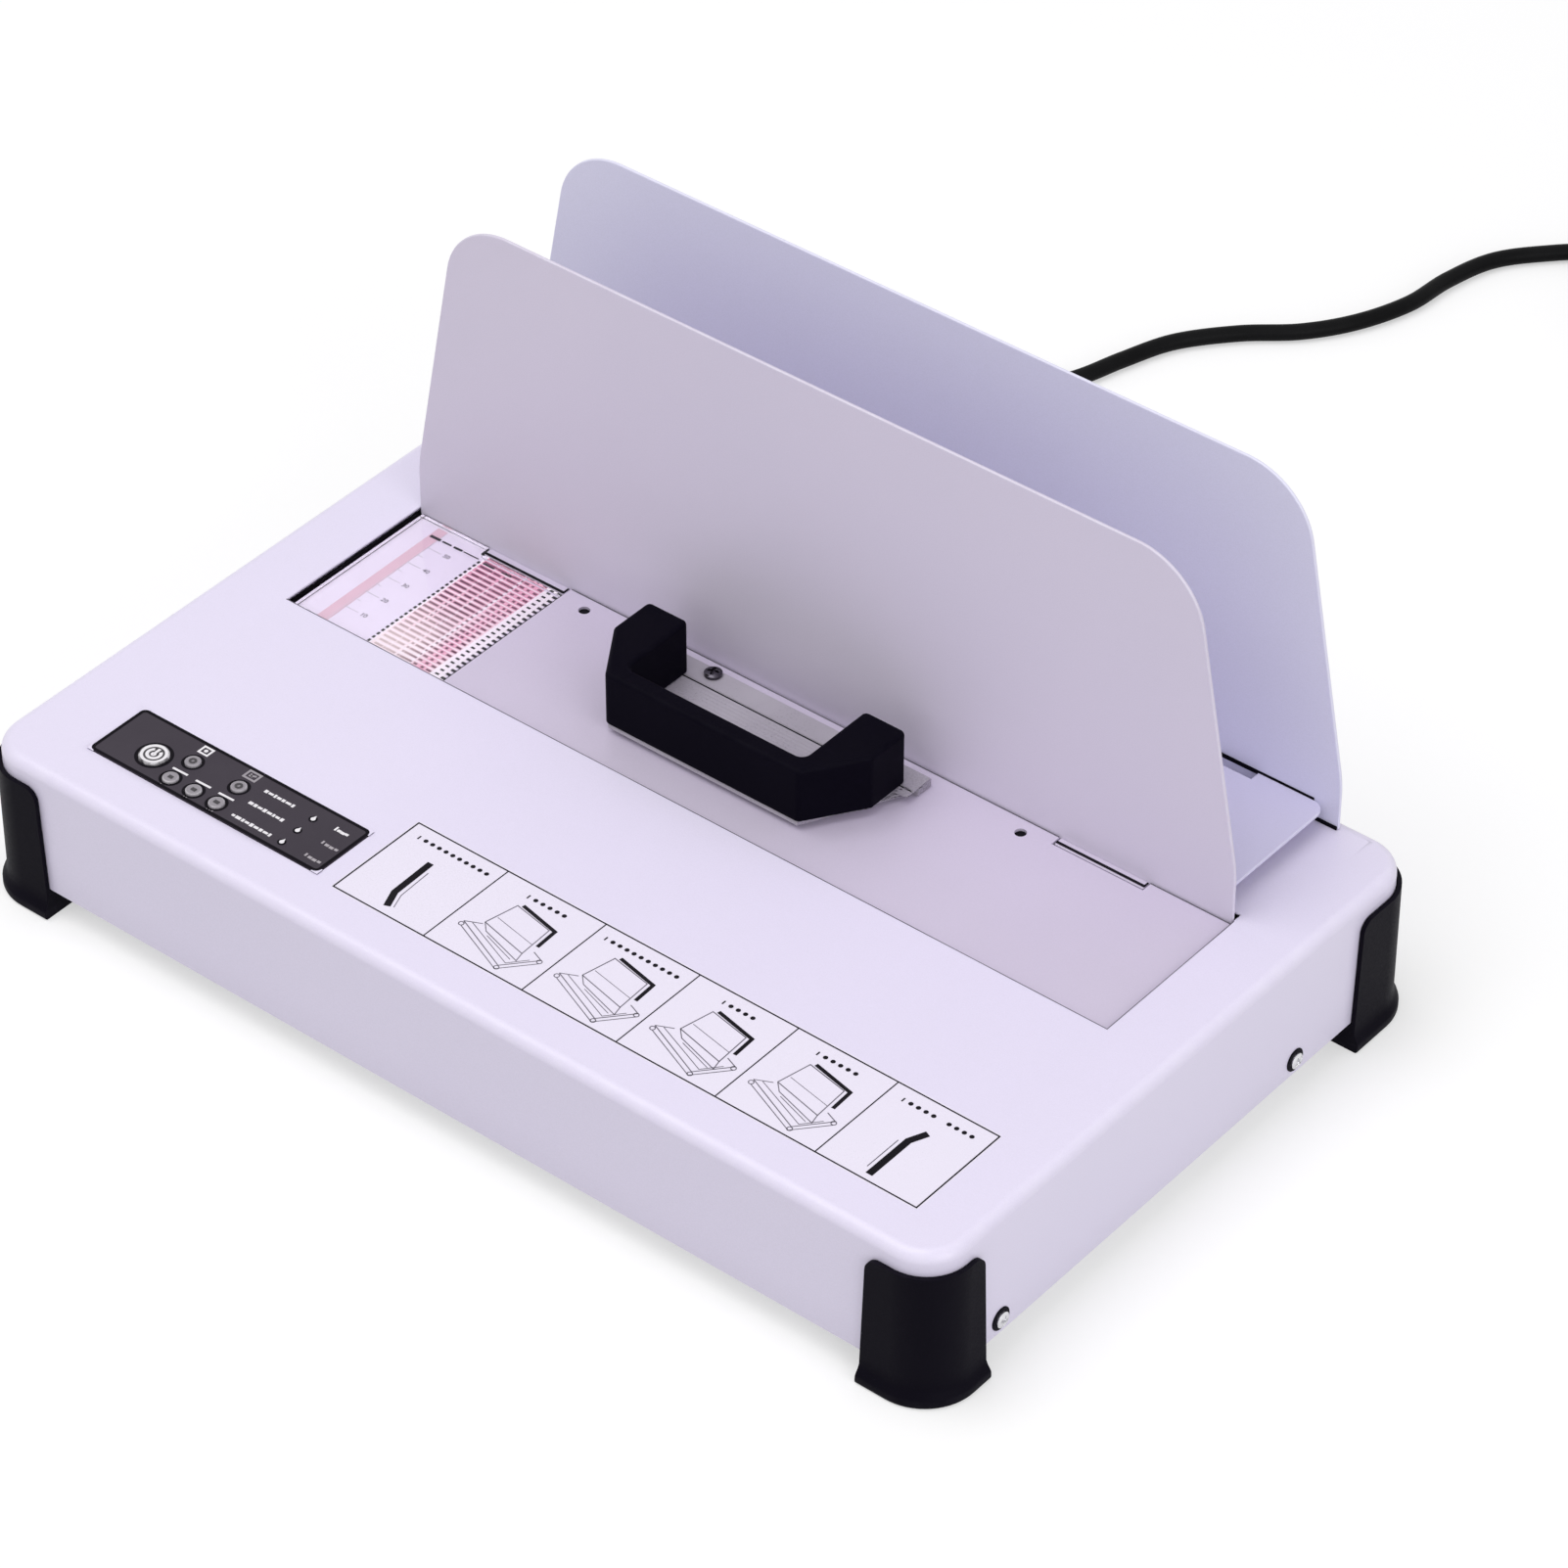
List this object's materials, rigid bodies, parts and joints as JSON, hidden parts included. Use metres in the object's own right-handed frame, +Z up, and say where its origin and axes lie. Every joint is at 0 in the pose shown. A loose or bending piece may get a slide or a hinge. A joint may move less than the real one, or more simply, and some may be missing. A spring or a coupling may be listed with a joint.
{
  "type": "thermal binding machine",
  "caption": "Desktop thermal binding machine: a flat painted case on corner feet, a sliding front clamp plate with a handle, a fixed rear plate, a key panel and a mains lead.",
  "frame": {"origin": "on the floor under the middle of the machine, without its mains lead", "axes": "+X to the right along the front, +Y to the back, +Z up"},
  "size_m": [0.3872, 0.6629, 0.1813],
  "materials": {
    "case_paint": "smooth satin, white with a lilac tint",
    "plate_paint": "fine matt, pale lilac grey",
    "zinc_steel": "zinc-plated sheet",
    "black_plastic": "fine satin, black",
    "bright_steel": "bright turned steel",
    "bearing_plastic": "natural acetal",
    "hot_plate_aluminium": "milled",
    "insulating_board": "mica and ceramic",
    "panel_plastic": "dark grey film with printed marks",
    "circuit_board": "green lacquer",
    "key_plastic": "grey, with printed marks",
    "lamp_plastic": "diffusing lens",
    "transformer_core": "varnished laminations and winding",
    "scale_paper": "printed sheet, pink and dark lines",
    "clear_window": "clear polished sheet",
    "frosted_plastic": "translucent, finely ribbed",
    "lead_rubber": "smooth black sheath"
  },
  "bodies": {
    "base": {"case_shell": "case_paint", "bottom_plate": "zinc_steel", "foot_front_left": "black_plastic", "foot_front_right": "black_plastic", "foot_rear_left": "black_plastic", "foot_rear_right": "black_plastic", "case_screw_front_left": "bright_steel", "case_screw_front_right": "bright_steel", "case_screw_rear_left": "bright_steel", "case_screw_rear_right": "bright_steel", "rear_plate": "plate_paint", "rear_plate_clamp": "zinc_steel", "rest_shelf": "case_paint", "trough_liner": "zinc_steel", "heating_plate": "hot_plate_aluminium", "heater_element": "insulating_board", "heater_insulator_left": "insulating_board", "heater_insulator_right": "insulating_board", "thermostat": "insulating_board", "thermal_fuse": "bright_steel", "trough_bracket_left": "zinc_steel", "trough_bracket_right": "zinc_steel", "rail_left": "bright_steel", "rail_right": "bright_steel", "rail_support_front_left": "bearing_plastic", "rail_support_front_right": "bearing_plastic", "rail_support_rear_left": "bearing_plastic", "rail_support_rear_right": "bearing_plastic", "control_panel": "panel_plastic", "control_board": "circuit_board", "lamp_bar": "lamp_plastic", "power_board": "circuit_board", "transformer": "transformer_core", "switch_housing": "black_plastic", "strain_relief": "lead_rubber", "cord": "lead_rubber", "cord_coil": "lead_rubber", "cord_tie": "lead_rubber", "plug": "lead_rubber", "mains_inner_lead": "lead_rubber"},
    "carriage": {"carriage_bar": "zinc_steel", "slide_cover": "plate_paint", "scale_sheet": "scale_paper", "scale_window": "clear_window", "slide_block_left": "bearing_plastic", "slide_block_right": "bearing_plastic", "front_plate": "plate_paint", "handle": "black_plastic", "handle_base": "frosted_plastic", "handle_screw_left": "bright_steel", "handle_screw_right": "bright_steel"},
    "key_power_body": {"key_power": "key_plastic"},
    "key_timer_body": {"key_timer": "key_plastic"},
    "key_start_body": {"key_start": "key_plastic"},
    "key_thin_body": {"key_thin": "key_plastic"},
    "key_medium_body": {"key_medium": "key_plastic"},
    "key_thick_body": {"key_thick": "key_plastic"},
    "switch_rocker_body": {"switch_rocker": "black_plastic"}
  },
  "joints": [
    {"name": "front_plate_slide", "type": "slide", "parent": "base", "child": "carriage", "axis": [0, -1, 0], "range_m": [0, 0.05]},
    {"name": "key_power_press", "type": "slide", "parent": "base", "child": "key_power_body", "axis": [0, 0, -1], "range_m": [0, 0.0005], "stiffness_N_per_m": 400, "springref_m": -0.0015},
    {"name": "key_timer_press", "type": "slide", "parent": "base", "child": "key_timer_body", "axis": [0, 0, -1], "range_m": [0, 0.0005], "stiffness_N_per_m": 400, "springref_m": -0.0015},
    {"name": "key_start_press", "type": "slide", "parent": "base", "child": "key_start_body", "axis": [0, 0, -1], "range_m": [0, 0.0005], "stiffness_N_per_m": 400, "springref_m": -0.0015},
    {"name": "key_thin_press", "type": "slide", "parent": "base", "child": "key_thin_body", "axis": [0, 0, -1], "range_m": [0, 0.0005], "stiffness_N_per_m": 400, "springref_m": -0.0015},
    {"name": "key_medium_press", "type": "slide", "parent": "base", "child": "key_medium_body", "axis": [0, 0, -1], "range_m": [0, 0.0005], "stiffness_N_per_m": 400, "springref_m": -0.0015},
    {"name": "key_thick_press", "type": "slide", "parent": "base", "child": "key_thick_body", "axis": [0, 0, -1], "range_m": [0, 0.0005], "stiffness_N_per_m": 400, "springref_m": -0.0015},
    {"name": "mains_rocker", "type": "hinge", "parent": "base", "child": "switch_rocker_body", "pos_m": [0.15, 0.1171, 0.033], "axis": [1, 0, 0], "range_deg": [0, 16]}
  ]
}
